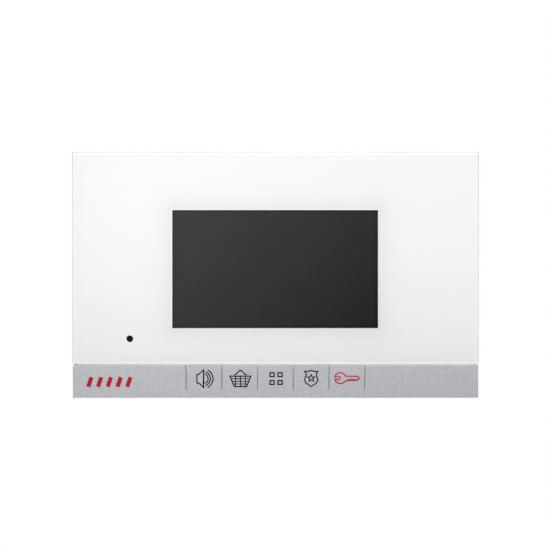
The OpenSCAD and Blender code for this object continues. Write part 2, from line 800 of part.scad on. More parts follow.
upright() wall_bracket();
upright() rear_cover();
upright() front_housing();
upright() front_glass();
upright() glass_print();
upright() glass_tape();
upright() control_strip();
upright() key(0);  // key_speaker
upright() key(1);  // key_basket
upright() key(2);  // key_menu
upright() key(3);  // key_guard
upright() key(4);  // key_unlock
upright() plunger(0);  // plunger_speaker
upright() plunger(1);  // plunger_basket
upright() plunger(2);  // plunger_menu
upright() plunger(3);  // plunger_guard
upright() plunger(4);  // plunger_unlock
upright() switch_bases();
upright() switch_domes();
upright() switch_covers();
upright() lcd_frame();
upright() lcd_panel();
upright() lcd_backlight();
upright() lcd_gasket();
upright() lcd_pads();
upright() lcd_flex();
upright() lcd_connector();
upright() main_board();
upright() board_screws();
upright() case_screws();
upright() microphone_capsule();
upright() microphone_boot();
upright() microphone_mesh();
upright() speaker_basket();
upright() speaker_cone();
upright() speaker_dust_cap();
upright() speaker_magnet();
upright() speaker_yoke();
upright() speaker_gasket();
upright() speaker_tag();
upright() speaker_socket();
upright() speaker_plug();
upright() speaker_lead();
upright() terminal_block();
upright() terminal_cages();
upright() terminal_screws();
upright() capacitors();
upright() capacitor_bases();
upright() inductors();
upright() main_processor();
upright() memory_chips();
upright() crystal();
upright() label_plate();
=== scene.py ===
"""Looks of a wall-hung video intercom monitor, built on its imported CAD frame.

Lengths are in metres unless a name ends in _MM. The monitor faces -Y, +X is to the right as seen
from the room and +Z is up. Patterns are worked out in millimetres of object space.
"""

import json
import math

import bmesh
import bpy
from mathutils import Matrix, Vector


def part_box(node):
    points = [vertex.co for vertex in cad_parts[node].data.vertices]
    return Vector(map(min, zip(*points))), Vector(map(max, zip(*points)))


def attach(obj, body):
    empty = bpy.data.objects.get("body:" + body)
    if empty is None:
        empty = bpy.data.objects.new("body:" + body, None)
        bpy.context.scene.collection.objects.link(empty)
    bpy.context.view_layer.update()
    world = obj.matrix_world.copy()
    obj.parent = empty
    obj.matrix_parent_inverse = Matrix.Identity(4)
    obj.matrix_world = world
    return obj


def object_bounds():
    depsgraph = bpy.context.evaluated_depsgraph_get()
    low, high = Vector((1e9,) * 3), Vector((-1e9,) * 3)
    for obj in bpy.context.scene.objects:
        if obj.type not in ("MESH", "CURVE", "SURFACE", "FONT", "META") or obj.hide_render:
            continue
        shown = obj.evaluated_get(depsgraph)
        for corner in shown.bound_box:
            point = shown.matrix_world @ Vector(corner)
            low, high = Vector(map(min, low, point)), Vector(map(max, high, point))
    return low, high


MM = 0.001
PER_MM = 1000.0

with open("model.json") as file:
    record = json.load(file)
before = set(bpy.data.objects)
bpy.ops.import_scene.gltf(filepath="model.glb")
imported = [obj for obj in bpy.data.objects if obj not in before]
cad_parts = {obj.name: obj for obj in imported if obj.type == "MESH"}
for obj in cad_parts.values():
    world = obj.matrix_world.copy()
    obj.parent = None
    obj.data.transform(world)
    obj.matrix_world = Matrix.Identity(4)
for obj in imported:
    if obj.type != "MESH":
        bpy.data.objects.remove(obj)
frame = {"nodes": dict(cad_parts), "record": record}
nodes = frame["nodes"]
cad_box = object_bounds()

KEYS = ("speaker", "basket", "menu", "guard", "unlock")


def size_of(name):
    low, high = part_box(name)
    return high - low


def centre_of(name):
    low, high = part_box(name)
    return (low + high) / 2


STRIP_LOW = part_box("control_strip")[0]
SCREEN = centre_of("lcd_frame")
STRIP_FACE = STRIP_LOW.y

# ------------------------------------------------------------------ shader helpers


class Tree:
    """A node tree with short calls that add nodes to it."""

    def __init__(self, tree):
        self.tree = tree

    def node(self, kind, **settings):
        made = self.tree.nodes.new(kind)
        for key, value in settings.items():
            setattr(made, key, value)
        return made

    def link(self, source, target):
        self.tree.links.new(source, target)

    def span(self, value, low, high, to_low=0.0, to_high=1.0, kind="SMOOTHSTEP"):
        """Maps value from low..high to to_low..to_high."""
        made = self.node("ShaderNodeMapRange", interpolation_type=kind)
        self.link(value, made.inputs["Value"])
        ends = (("From Min", low), ("From Max", high), ("To Min", to_low), ("To Max", to_high))
        for socket, number in ends:
            made.inputs[socket].default_value = number
        return made.outputs["Result"]

    def math(self, operation, a, b=0.0):
        """One sum, of numbers or sockets."""
        made = self.node("ShaderNodeMath", operation=operation)
        for socket, value in zip(made.inputs, (a, b)):
            if isinstance(value, (int, float)):
                socket.default_value = value
            else:
                self.link(value, socket)
        return made.outputs[0]


class Shader(Tree):
    """One node-based material: a Principled shader and the patterns that drive it."""

    def __init__(self, name, color, roughness, metallic=0.0, **sockets):
        self.material = bpy.data.materials.new(name)
        self.material.use_nodes = True
        super().__init__(self.material.node_tree)
        self.bsdf = self.tree.nodes["Principled BSDF"]
        self.output = self.tree.nodes["Material Output"]
        self.set("Base Color", (*color, 1.0))
        self.set("Roughness", roughness)
        self.set("Metallic", metallic)
        for socket, value in sockets.items():
            self.set(socket.replace("_", " "), value)

    def set(self, socket, value):
        self.bsdf.inputs[socket].default_value = value

    def drive(self, socket, source):
        self.link(source, self.bsdf.inputs[socket])

    def place(self, stretch=(1, 1, 1), turn=(0, 0, 0)):
        """Object coordinates in millimetres, stretched and turned."""
        coordinates = self.node("ShaderNodeTexCoord")
        mapping = self.node("ShaderNodeMapping")
        mapping.inputs["Scale"].default_value = [PER_MM * s for s in stretch]
        mapping.inputs["Rotation"].default_value = turn
        self.link(coordinates.outputs["Object"], mapping.inputs["Vector"])
        return mapping.outputs["Vector"]

    def noise(self, scale, detail=3.0, where=None, roughness=0.5):
        """Noise between about 0.3 and 0.7, with scale features to the millimetre."""
        made = self.node("ShaderNodeTexNoise")
        made.inputs["Scale"].default_value = scale
        made.inputs["Detail"].default_value = detail
        made.inputs["Roughness"].default_value = roughness
        self.link(where or self.place(), made.inputs["Vector"])
        return made.outputs["Fac"]

    def cells(self, scale, feature="F1", output="Distance", where=None):
        """Voronoi cells, with scale of them to the millimetre."""
        made = self.node("ShaderNodeTexVoronoi", feature=feature)
        made.inputs["Scale"].default_value = scale
        self.link(where or self.place(), made.inputs["Vector"])
        return made.outputs[output]

    def mix(self, factor, first, second):
        """A colour between two colours, each a tuple or a socket."""
        made = self.node("ShaderNodeMix", data_type="RGBA")
        self.link(factor, made.inputs[0])
        for socket, value in ((made.inputs[6], first), (made.inputs[7], second)):
            if isinstance(value, tuple):
                socket.default_value = (*value[:3], 1.0)
            else:
                self.link(value, socket)
        return made.outputs[2]

    def bump(self, height, strength, depth_mm):
        """Adds a relief of depth_mm on top of any relief that is there."""
        made = self.node("ShaderNodeBump")
        made.inputs["Strength"].default_value = strength
        made.inputs["Distance"].default_value = depth_mm * MM
        self.link(height, made.inputs["Height"])
        before = self.bsdf.inputs["Normal"]
        if before.links:
            self.link(before.links[0].from_socket, made.inputs["Normal"])
        self.link(made.outputs["Normal"], before)

    def vary(self, color, amount, scale, where=None):
        """Base colour that wanders by amount round color, and returns the noise."""
        noise = self.noise(scale, where=where)
        dark = tuple(c * (1 - amount) for c in color)
        light = tuple(min(1.0, c * (1 + amount)) for c in color)
        self.drive("Base Color", self.mix(self.span(noise, 0.3, 0.7), dark, light))
        return noise

    def rough(self, noise, low, high):
        """Roughness that follows the noise from low to high."""
        self.drive("Roughness", self.span(noise, 0.3, 0.7, low, high))


def box_distance(shader, centre, half_w, half_h):
    """Distance in millimetres from a rectangle in the XZ plane, 0 inside it."""
    split = shader.node("ShaderNodeSeparateXYZ")
    shader.link(shader.place(), split.inputs[0])
    parts = []
    for axis, middle, half in (("X", centre.x, half_w), ("Z", centre.z, half_h)):
        off = shader.math("SUBTRACT", split.outputs[axis], middle * PER_MM)
        over = shader.math("SUBTRACT", shader.math("ABSOLUTE", off), half)
        parts.append(shader.math("POWER", shader.math("MAXIMUM", over, 0.0), 2.0))
    return shader.math("SQRT", shader.math("ADD", *parts))


# ------------------------------------------------------------------ materials

WINDOW = SCREEN - Vector((0.2 * MM, 0, 0))
WINDOW_HALF_MM = (48.7, 27.95)
# painted highlight: a copy of the window outline shifted up and to the left by this step
HIGHLIGHT_STEP = 0.5 * MM
HIGHLIGHT_WINDOW = WINDOW + Vector((-HIGHLIGHT_STEP, 0, HIGHLIGHT_STEP))
PRINT_MIDDLE = centre_of("glass_print")
PRINT_W_MM = size_of("glass_print").x * PER_MM
PRINT_HALF_H_MM = size_of("glass_print").z * PER_MM / 2
PRINT_BORDER_MM = 0.9
ACTIVE_HALF_MM = (47.6, 26.95)
ACTIVE_BLUR_MM = 0.15
# reach of the painted shade round the window
SHADE_REACH_MM = 5.0
BONDED_MM = (3.5, 9.0)
TOUCHING_MM = 0.001
TWO_FACE_IOR = 1.8
PRINT_COAT = (0.5, 1.0)
PRINT_WHITE = (0.92, 0.92, 0.93)
# grey of the painted shade next to the window
PRINT_SHADED_GREY = (0.80, 0.80, 0.81)
# white of the painted highlight lines
PRINT_HIGHLIGHT = (0.99, 0.99, 0.99)
SCREEN_BLACK = (0.017, 0.017, 0.018)
BORDER_BLACK = (0.006, 0.006, 0.006)


def bonded_share(shader):
    """1 over the window and just round it, falling to 0 in the wide white border."""
    away = box_distance(shader, WINDOW, *WINDOW_HALF_MM)
    return shader.span(away, *BONDED_MM, 1.0, 0.0)


def print_tone_with_painted_shade(shader):
    """The white of the print with painted shade: it darkens towards the window, in a slightly cloudy
    way.
    """
    away = box_distance(shader, WINDOW, *WINDOW_HALF_MM)
    cloud = shader.span(shader.noise(0.05), 0.3, 0.7, 0.0, 0.5)
    depth = shader.math("DIVIDE", shader.math("ADD", away, cloud), -SHADE_REACH_MM)
    painted_shade = shader.math("POWER", math.e, depth)
    return shader.mix(painted_shade, PRINT_WHITE, PRINT_SHADED_GREY)


def painted_highlight_lines(shader):
    """1 where a painted highlight goes: a line on two sides of the window, and along the top and
    bottom edges of the print.
    """
    from_highlight_window = box_distance(shader, HIGHLIGHT_WINDOW, *WINDOW_HALF_MM)
    line = shader.math("LESS_THAN", from_highlight_window, TOUCHING_MM)
    inner_half_h = PRINT_HALF_H_MM - PRINT_BORDER_MM
    # twice the print's width, so that its two ends get no line
    from_inner = box_distance(shader, PRINT_MIDDLE, PRINT_W_MM, inner_half_h)
    return shader.math("MAXIMUM", line, shader.math("GREATER_THAN", from_inner, 0.0))


def white_print():
    """White ink on the back of the glass, with painted shade that greys it round the window.

    A painted highlight line shows on two sides of the window, from a copy of its outline shifted a
    little up and to the left.
    """
    shader = Shader("white_print", PRINT_WHITE, 0.45, Coat_IOR=TWO_FACE_IOR, Coat_Roughness=0.02)
    coat = shader.span(bonded_share(shader), 0.0, 1.0, *PRINT_COAT, "LINEAR")
    shader.drive("Coat Weight", coat)
    # painted highlight lines over the print's white and its painted shade
    color = shader.mix(painted_highlight_lines(shader), print_tone_with_painted_shade(shader), PRINT_HIGHLIGHT)
    shader.drive("Base Color", color)
    shader.bump(shader.noise(6.0, 4.0), 0.1, 0.01)
    return shader.material


def let_light_pass(shader, to_the_eye=None):
    """Lamps and soft light pass the surface straight, and so does sight by the share to_the_eye."""
    clear = shader.node("ShaderNodeBsdfTransparent")
    path = shader.node("ShaderNodeLightPath")
    passes = shader.math("MAXIMUM", path.outputs["Is Shadow Ray"], path.outputs["Is Diffuse Ray"])
    passes = shader.math("MAXIMUM", passes, path.outputs["Is Glossy Ray"])
    if to_the_eye is not None:
        passes = shader.math("MAXIMUM", passes, to_the_eye)
    blend = shader.node("ShaderNodeMixShader")
    shader.link(passes, blend.inputs[0])
    shader.link(shader.bsdf.outputs[0], blend.inputs[1])
    shader.link(clear.outputs[0], blend.inputs[2])
    shader.link(blend.outputs[0], shader.output.inputs[0])


def clear_glass():
    """Float glass with a faint green body and slight smears.

    The print and the display are bonded to its back, so rays leave it straight and their coats
    carry the shine of that face. Round the window the coats carry the shine of both faces.
    """
    shader = Shader("clear_glass", (0.995, 1.0, 0.998), 0.015, Transmission_Weight=1.0, IOR=1.5)
    smear = shader.noise(0.12, 4.0)
    shader.rough(smear, 0.008, 0.022)
    leaving = shader.node("ShaderNodeNewGeometry").outputs["Backfacing"]
    let_light_pass(shader, shader.math("MAXIMUM", bonded_share(shader), leaving))
    return shader.material


def ground_edge():
    """The seamed edge of float glass: matt and pale green, with grinding marks round it."""
    shader = Shader("ground_edge", (0.68, 0.77, 0.74), 0.5)
    marks = shader.noise(2.5, 5.0, where=shader.place(stretch=(0.3, 4, 0.3)), roughness=0.7)
    tint = shader.mix(shader.span(marks, 0.3, 0.7), (0.60, 0.70, 0.67), (0.74, 0.82, 0.79))
    shader.drive("Base Color", tint)
    shader.rough(marks, 0.4, 0.6)
    shader.bump(marks, 0.4, 0.02)
    let_light_pass(shader)
    return shader.material


def silver_paint():
    """Silver paint on plastic: aluminium flakes under a thin satin lacquer."""
    shader = Shader(
        "silver_paint",
        (0.62, 0.62, 0.64),
        0.4,
        metallic=0.55,
        Coat_Weight=0.6,
        Coat_Roughness=0.15,
    )
    flakes = shader.cells(7.0, output="Color")
    value = shader.node("ShaderNodeRGBToBW")
    shader.link(flakes, value.inputs[0])
    grain = shader.noise(1.1, 6.0, roughness=0.75)
    both = shader.math("ADD", shader.math("MULTIPLY", value.outputs[0], 0.3), grain)
    sparkle = shader.span(both, 0.4, 0.95)
    shader.drive("Base Color", shader.mix(sparkle, (0.50, 0.505, 0.535), (0.72, 0.725, 0.755)))
    shader.drive("Roughness", shader.span(value.outputs[0], 0.2, 0.8, 0.36, 0.5))
    shader.bump(both, 0.25, 0.01)
    return shader.material


def moulded_plastic(name, color, grain=2.5, depth_mm=0.02, roughness=(0.45, 0.6)):
    """Injection-moulded plastic with a spark-eroded grain and faint flow clouds."""
    shader = Shader(name, color, roughness[0])
    shader.vary(color, 0.02, 0.06)
    texture = shader.noise(grain, 5.0, roughness=0.65)
    shader.rough(texture, *roughness)
    shader.bump(texture, 0.5, depth_mm)
    return shader.material


def sheet_steel(name, color, streak=(0.3, 1, 6), roughness=(0.28, 0.45)):
    """Rolled sheet with fine streaks along X and soft clouds in its plating."""
    shader = Shader(name, color, roughness[0], metallic=1.0)
    streaks = shader.noise(1.2, 6.0, where=shader.place(stretch=streak), roughness=0.7)
    clouds = shader.noise(0.08, 4.0)
    shader.rough(streaks, *roughness)
    light = tuple(min(1.0, c * 1.08) for c in color)
    dark = tuple(c * 0.86 for c in color)
    both = shader.math("ADD", shader.math("MULTIPLY", streaks, 0.4), clouds)
    shader.drive("Base Color", shader.mix(shader.span(both, 0.5, 0.95), dark, light))
    shader.bump(streaks, 0.15, 0.01)
    return shader.material


def plated_metal(name, color, roughness=(0.2, 0.38)):
    """Small turned or pressed metal parts: plated, with fine handling marks."""
    shader = Shader(name, color, roughness[0], metallic=1.0)
    marks = shader.noise(4.0, 6.0, roughness=0.7)
    shader.vary(color, 0.08, 0.9)
    shader.rough(marks, *roughness)
    shader.bump(marks, 0.12, 0.01)
    return shader.material


def foam(name, color, cell=2.2):
    """Closed-cell foam: round cells with dark pits."""
    shader = Shader(name, color, 0.9, Sheen_Weight=0.15)
    pits = shader.cells(cell)
    dark = tuple(c * 0.55 for c in color)
    shader.drive("Base Color", shader.mix(shader.span(pits, 0.1, 0.5), dark, color))
    shader.bump(pits, 0.6, 0.12)
    return shader.material


def black_rubber():
    shader = Shader("black_rubber", (0.018, 0.018, 0.019), 0.6)
    grain = shader.vary((0.02, 0.02, 0.021), 0.25, 3.0)
    shader.rough(grain, 0.5, 0.72)
    shader.bump(grain, 0.3, 0.03)
    return shader.material


def lcd_face():
    """The display's dark polariser: the picture area is a touch lighter than its border."""
    shader = Shader(
        "lcd_face",
        SCREEN_BLACK,
        0.16,
        Specular_IOR_Level=0.1,
        Coat_Weight=1.0,
        Coat_IOR=1.53,
        Coat_Roughness=0.02,
    )
    edge = box_distance(shader, SCREEN, *ACTIVE_HALF_MM)
    inside = shader.span(edge, 0.0, ACTIVE_BLUR_MM, 1.0, 0.0, "LINEAR")
    shader.drive("Base Color", shader.mix(inside, BORDER_BLACK, SCREEN_BLACK))
    haze = shader.noise(0.4, 3.0)
    shader.rough(haze, 0.14, 0.18)
    shader.bump(haze, 0.02, 0.002)
    return shader.material


def diffuser():
    shader = Shader("white_diffuser", (0.85, 0.86, 0.87), 0.4)
    prisms = shader.noise(5.0, 2.0)
    shader.rough(prisms, 0.35, 0.5)
    shader.bump(prisms, 0.2, 0.02)
    return shader.material


def amber_film():
    """Polyimide flat cable with copper tracks that run down it."""
    shader = Shader("amber_film", (0.55, 0.25, 0.04), 0.28, Coat_Weight=0.3)
    tracks = shader.node("ShaderNodeTexWave", wave_type="BANDS", bands_direction="X")
    tracks.inputs["Scale"].default_value = 0.62
    tracks.inputs["Distortion"].default_value = 0.0
    shader.link(shader.place(), tracks.inputs["Vector"])
    lit = shader.span(tracks.outputs["Fac"], 0.4, 0.6)
    shader.drive("Base Color", shader.mix(lit, (0.33, 0.12, 0.02), (0.72, 0.36, 0.08)))
    shader.bump(tracks.outputs["Fac"], 0.3, 0.02)
    return shader.material


def solder_mask():
    """Green lacquer over copper: tracks, vias and ground areas show through it."""
    shader = Shader("solder_mask", (0.01, 0.09, 0.04), 0.3, Coat_Weight=0.4, Coat_Roughness=0.15)
    tracks = shader.cells(0.35, "DISTANCE_TO_EDGE", where=shader.place(stretch=(1, 0.001, 1)))
    fine = shader.node("ShaderNodeTexBrick")
    fine.inputs["Scale"].default_value = 1.0
    fine.inputs["Brick Width"].default_value = 7.0
    fine.inputs["Row Height"].default_value = 1.3
    fine.inputs["Mortar Size"].default_value = 0.16
    shader.link(shader.place(turn=(math.radians(90), 0, 0)), fine.inputs["Vector"])
    line = shader.math("MAXIMUM", shader.span(tracks, 0.05, 0.09, 1.0, 0.0), fine.outputs["Fac"])
    shader.drive("Base Color", shader.mix(line, (0.008, 0.075, 0.032), (0.02, 0.16, 0.06)))
    weave = shader.noise(2.0, 3.0)
    shader.rough(weave, 0.26, 0.38)
    shader.bump(line, 0.4, 0.035)
    return shader.material


def pressed_paper():
    """Black pulp cone: long fibres and a soft bloom."""
    shader = Shader("pressed_paper", (0.03, 0.03, 0.032), 0.85, Sheen_Weight=0.2)
    fibres = shader.noise(2.0, 8.0, where=shader.place(stretch=(0.5, 2, 3)), roughness=0.8)
    dark_to_light = shader.span(fibres, 0.35, 0.65)
    shader.drive("Base Color", shader.mix(dark_to_light, (0.014, 0.014, 0.015), (0.06, 0.06, 0.064)))
    shader.bump(fibres, 0.6, 0.05)
    return shader.material


def woven_mesh():
    """Fine black acoustic cloth: crossed threads."""
    shader = Shader("woven_mesh", (0.006, 0.006, 0.006), 0.85, Specular_IOR_Level=0.1)
    waves = []
    for direction in ("X", "Z"):
        wave = shader.node("ShaderNodeTexWave", wave_type="BANDS", bands_direction=direction)
        wave.inputs["Scale"].default_value = 1.3
        wave.inputs["Distortion"].default_value = 0.0
        shader.link(shader.place(), wave.inputs["Vector"])
        waves.append(wave.outputs["Fac"])
    cloth = shader.math("MAXIMUM", *waves)
    shader.drive("Base Color", shader.mix(cloth, (0.001, 0.001, 0.001), (0.009, 0.009, 0.0095)))
    shader.bump(cloth, 0.7, 0.06)
    return shader.material


def ferrite():
    shader = Shader("ferrite", (0.035, 0.034, 0.036), 0.55)
    grain = shader.vary((0.04, 0.039, 0.041), 0.35, 5.0)
    shader.rough(grain, 0.45, 0.65)
    shader.bump(grain, 0.4, 0.03)
    return shader.material


def ink(name, color):
    """Pad-printed ink: slightly uneven, with a soft gloss."""
    shader = Shader(name, color, 0.4, Specular_IOR_Level=0.25)
    grain = shader.vary(color, 0.12, 4.0)
    shader.rough(grain, 0.35, 0.5)
    return shader.material


def pale_floor():
    shader = Shader("pale_floor", (0.9, 0.9, 0.9), 0.7)
    grain = shader.vary((0.9, 0.9, 0.9), 0.01, 0.02)
    shader.rough(grain, 0.6, 0.75)
    return shader.material


PAINTS = {
    "white_print": white_print(),
    "clear_glass": clear_glass(),
    "silver_paint": silver_paint(),
    "white_abs": moulded_plastic("white_abs", (0.82, 0.82, 0.815)),
    "zinc_steel": sheet_steel("zinc_steel", (0.68, 0.70, 0.73)),
    "bright_steel": sheet_steel("bright_steel", (0.66, 0.66, 0.67), (1, 1, 3), (0.22, 0.36)),
    "nickel_steel": plated_metal("nickel_steel", (0.72, 0.70, 0.66)),
    "aluminium_can": plated_metal("aluminium_can", (0.80, 0.81, 0.83), (0.24, 0.4)),
    "spring_brass": plated_metal("spring_brass", (0.80, 0.60, 0.28)),
    "grey_foam": foam("grey_foam", (0.45, 0.45, 0.47)),
    "black_foam": foam("black_foam", (0.02, 0.02, 0.021)),
    "black_rubber": black_rubber(),
    "dark_lcd": lcd_face(),
    "white_diffuser": diffuser(),
    "amber_film": amber_film(),
    "green_board": solder_mask(),
    "ivory_nylon": moulded_plastic("ivory_nylon", (0.75, 0.70, 0.56), 4.0, 0.01, (0.35, 0.5)),
    "green_nylon": moulded_plastic("green_nylon", (0.02, 0.24, 0.09), 4.0, 0.01, (0.38, 0.5)),
    "black_nylon": moulded_plastic("black_nylon", (0.022, 0.022, 0.024), 4.0, 0.01, (0.38, 0.5)),
    "black_epoxy": moulded_plastic("black_epoxy", (0.02, 0.02, 0.021), 6.0, 0.02, (0.5, 0.65)),
    "brown_laminate": moulded_plastic("brown_laminate", (0.30, 0.16, 0.06), 3.0, 0.01),
    "red_pvc": moulded_plastic("red_pvc", (0.42, 0.015, 0.015), 2.0, 0.01, (0.3, 0.42)),
    "silver_film": plated_metal("silver_film", (0.72, 0.72, 0.73), (0.3, 0.42)),
    "black_paper": pressed_paper(),
    "black_mesh": woven_mesh(),
    "ferrite": ferrite(),
}
BLACK_INK = ink("black_ink", (0.003, 0.003, 0.0035))
RED_INK = ink("red_ink", (0.46, 0.005, 0.028))
GREY_INK = ink("grey_ink", (0.12, 0.12, 0.13))


def paint_nodes():
    """Every CAD node takes the material that the record's slot names."""
    for part in frame["record"]["subparts"]:
        piece = nodes[part["node"]]
        piece.data.materials.clear()
        piece.data.materials.append(PAINTS[part["material_slot"]])


EDGE_REACH = 1.5 * MM


def grind_glass_edge():
    """The outer edge of the glass is ground. Its two faces and the microphone's hole stay clear."""
    mesh = nodes["front_glass"].data
    mesh.materials.append(ground_edge())
    middle = centre_of("front_glass")
    half = size_of("front_glass") / 2
    for face in mesh.polygons:
        off = face.center - middle
        inset = min(half.x - abs(off.x), half.z - abs(off.z))
        if abs(face.normal.y) < 0.5 and inset < EDGE_REACH:
            face.material_index = 1


# ------------------------------------------------------------------ rounding of CAD nodes

ROUND_MM = {
    "rear_cover": 0.35,
    "front_housing": 0.25,
    "front_glass": 0.22,
    "control_strip": 0.22,
    "wall_bracket": 0.25,
    "lcd_frame": 0.12,
    "terminal_block": 0.15,
    "terminal_screws": 0.1,
    "terminal_cages": 0.08,
    "speaker_yoke": 0.2,
    "speaker_magnet": 0.25,
    "speaker_basket": 0.08,
    "capacitors": 0.2,
    "capacitor_bases": 0.15,
    "inductors": 0.2,
    "crystal": 0.3,
    "main_processor": 0.06,
    "memory_chips": 0.06,
    "microphone_capsule": 0.15,
    "microphone_boot": 0.2,
    "speaker_socket": 0.15,
    "speaker_plug": 0.12,
    "lcd_connector": 0.1,
    "lcd_pads": 0.3,
    "switch_bases": 0.12,
    "switch_covers": 0.06,
    "main_board": 0.08,
    "label_plate": 0.04,
    "case_screws": 0.06,
    "board_screws": 0.05,
    **{f"key_{key}": 0.14 for key in KEYS},
    **{f"plunger_{key}": 0.15 for key in KEYS},
}
SHARP_ANGLE = math.radians(32)
FLAT_ANGLE = math.radians(0.6)
WELD_REACH = 0.002 * MM
SEAM_REACH = 0.05 * MM


def round_node(name, width_mm):
    """Rounds a CAD node's sharp edges with modifiers. Its own points stay where they are."""
    piece = nodes[name]
    for face in piece.data.polygons:
        face.use_smooth = True
    weld = piece.modifiers.new("weld", "WELD")
    weld.merge_threshold = WELD_REACH
    flat = piece.modifiers.new("flat", "DECIMATE")
    flat.decimate_type = "DISSOLVE"
    flat.angle_limit = FLAT_ANGLE
    edge = piece.modifiers.new("edge", "BEVEL")
    edge.width = width_mm * MM
    edge.segments = 2
    edge.material = 0
    edge.limit_method = "ANGLE"
    edge.angle_limit = SHARP_ANGLE
    edge.use_clamp_overlap = True
    edge.harden_normals = False
    normals = piece.modifiers.new("normals", "WEIGHTED_NORMAL")
    normals.keep_sharp = True


def mark_edges(piece, seam_z):
    """Marks the sharp edges to be rounded. Those at the film hinge stay flush, with no groove."""
    mesh = piece.data

    def ends_of(pair):
        return tuple(sorted(tuple(round(c, 6) for c in mesh.vertices[v].co) for v in pair))

    sides = {}
    for face in mesh.polygons:
        for pair in face.edge_keys:
            sides.setdefault(ends_of(pair), []).append(face.normal.copy())
    marks = mesh.attributes.new("bevel_weight_edge", "FLOAT", "EDGE")
    for edge in mesh.edges:
        ends = ends_of(edge.vertices)
        normals = sides[ends]
        sharp = len(normals) == 2 and normals[0].angle(normals[1], 0.0) > SHARP_ANGLE
        at_seam = all(abs(end[2] - seam_z) < SEAM_REACH for end in ends)
        marks.data[edge.index].value = float(sharp and not at_seam)
        edge.use_edge_sharp = sharp and at_seam
    piece.modifiers["edge"].limit_method = "WEIGHT"


def drop_packed_normals(piece):
    """The rounded pieces work out their own normals."""
    stored = piece.data.attributes.get("custom_normal")
    if stored is not None:
        piece.data.attributes.remove(stored)


def round_nodes():
    """Rounds every piece in ROUND_MM. The strip and keys get marked edges round the hinges."""
    for name, width_mm in ROUND_MM.items():
        drop_packed_normals(nodes[name])
        round_node(name, width_mm)
    seam_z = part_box("key_menu")[0].z
    for name in ("control_strip", *(f"key_{key}" for key in KEYS)):
        mark_edges(nodes[name], seam_z)


# ------------------------------------------------------------------ printed marks

INK_DEPTH = 0.03 * MM
STROKE_MM = 0.58


def arc(x, z, radius, start, end, steps=14):
    """Points along an arc, angles in degrees."""
    return [
        (x + radius * math.cos(math.radians(a)), z + radius * math.sin(math.radians(a)))
        for a in (start + (end - start) * i / steps for i in range(steps + 1))
    ]


def mitre(before, here, after, half):
    """The sideways step at a corner of a stroke, so that both its sides stay parallel."""
    first = (here - before).normalized()
    second = (after - here).normalized()
    along = (first + second).normalized()
    across = Vector((-along.y, along.x))
    normal = Vector((-first.y, first.x))
    return across * (half / max(0.5, across.dot(normal)))


def add_stroke(mesh, points, width, closed, face_y):
    """A flat bar of ink that follows points, given as (x, z) in metres."""
    line = [Vector(p) for p in points]
    count = len(line)
    sections = []
    for i, here in enumerate(line):
        before = line[i - 1] if closed or i else 2 * here - line[1]
        after = line[(i + 1) % count] if closed or i < count - 1 else 2 * here - line[i - 1]
        step = mitre(before, here, after, width / 2)
        corners = ((here + step, 1), (here - step, 1), (here - step, 0), (here + step, 0))
        sections.append([mesh.verts.new((p.x, face_y - INK_DEPTH * up, p.y)) for p, up in corners])
    for i in range(count if closed else count - 1):
        one, two = sections[i], sections[(i + 1) % count]
        for k in range(4):
            mesh.faces.new((one[k], two[k], two[(k + 1) % 4], one[(k + 1) % 4]))
    if not closed:
        mesh.faces.new(sections[0][::-1])
        mesh.faces.new(sections[-1])


def printed(name, strokes, origin, material, body):
    """One printed mark. strokes are (points in mm, closed, width in mm) round origin."""
    mesh = bmesh.new()
    for points, closed, width in strokes:
        placed = [(origin.x + x * MM, origin.z + z * MM) for x, z in points]
        add_stroke(mesh, placed, width * MM, closed, origin.y)
    bmesh.ops.recalc_face_normals(mesh, faces=mesh.faces)
    data = bpy.data.meshes.new(name)
    mesh.to_mesh(data)
    mesh.free()
    piece = bpy.data.objects.new(name, data)
    bpy.context.scene.collection.objects.link(piece)
    data.materials.append(material)
    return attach(piece, body)


def speaker_mark():
    """A loudspeaker with three sound waves."""
    horn = [(-3.4, -2.05), (-3.4, 2.05), (-2.5, 2.05), (-0.25, 4.2), (-0.25, -4.2), (-2.5, -2.05)]
    strokes = [(horn, True, STROKE_MM), ([(-0.25, -4.3), (-0.25, 4.3)], False, STROKE_MM * 1.2)]
    for radius, reach in ((2.4, 66), (3.45, 70), (4.7, 62)):
        strokes.append((arc(-0.5, 0, radius, -reach, reach), False, STROKE_MM))
    return strokes


def basket_mark():
    """An open wire basket with a raised handle."""
    middle, rim, base = 0.3, 1.2, -3.7
    rim_half, base_half = 4.9, 2.95
    outline = [(-rim_half, rim), (-base_half, base), (base_half, base), (rim_half, rim)]
    handle = [(-3.1, 1.9), (-2.1, 2.1), (-0.3, 3.95), (0.3, 3.95), (2.1, 2.1), (3.1, 1.9)]
    lines = [(outline, True, STROKE_MM), (handle, False, STROKE_MM)]
    for x in (-2.3, 0.0, 2.3):
        lines.append(([(x, rim), (x, base)], False, STROKE_MM * 0.85))
    for level in (0.25, 0.5, 0.75):
        z = rim + (base - rim) * level
        half = rim_half + (base_half - rim_half) * level
        lines.append(([(-half, z), (half, z)], False, STROKE_MM * 0.7))
    return [([(x + middle, z) for x, z in points], closed, w) for points, closed, w in lines]


def menu_mark():
    """Four small frames in a square."""
    half_w, half_h = 0.98, 0.88
    corners = ((-half_w, -half_h), (-half_w, half_h), (half_w, half_h), (half_w, -half_h))
    strokes = []
    for x in (-1.6, 2.15):
        for z in (-1.8, 1.9):
            strokes.append(([(x + dx, z + dz) for dx, dz in corners], True, STROKE_MM * 1.1))
    return strokes


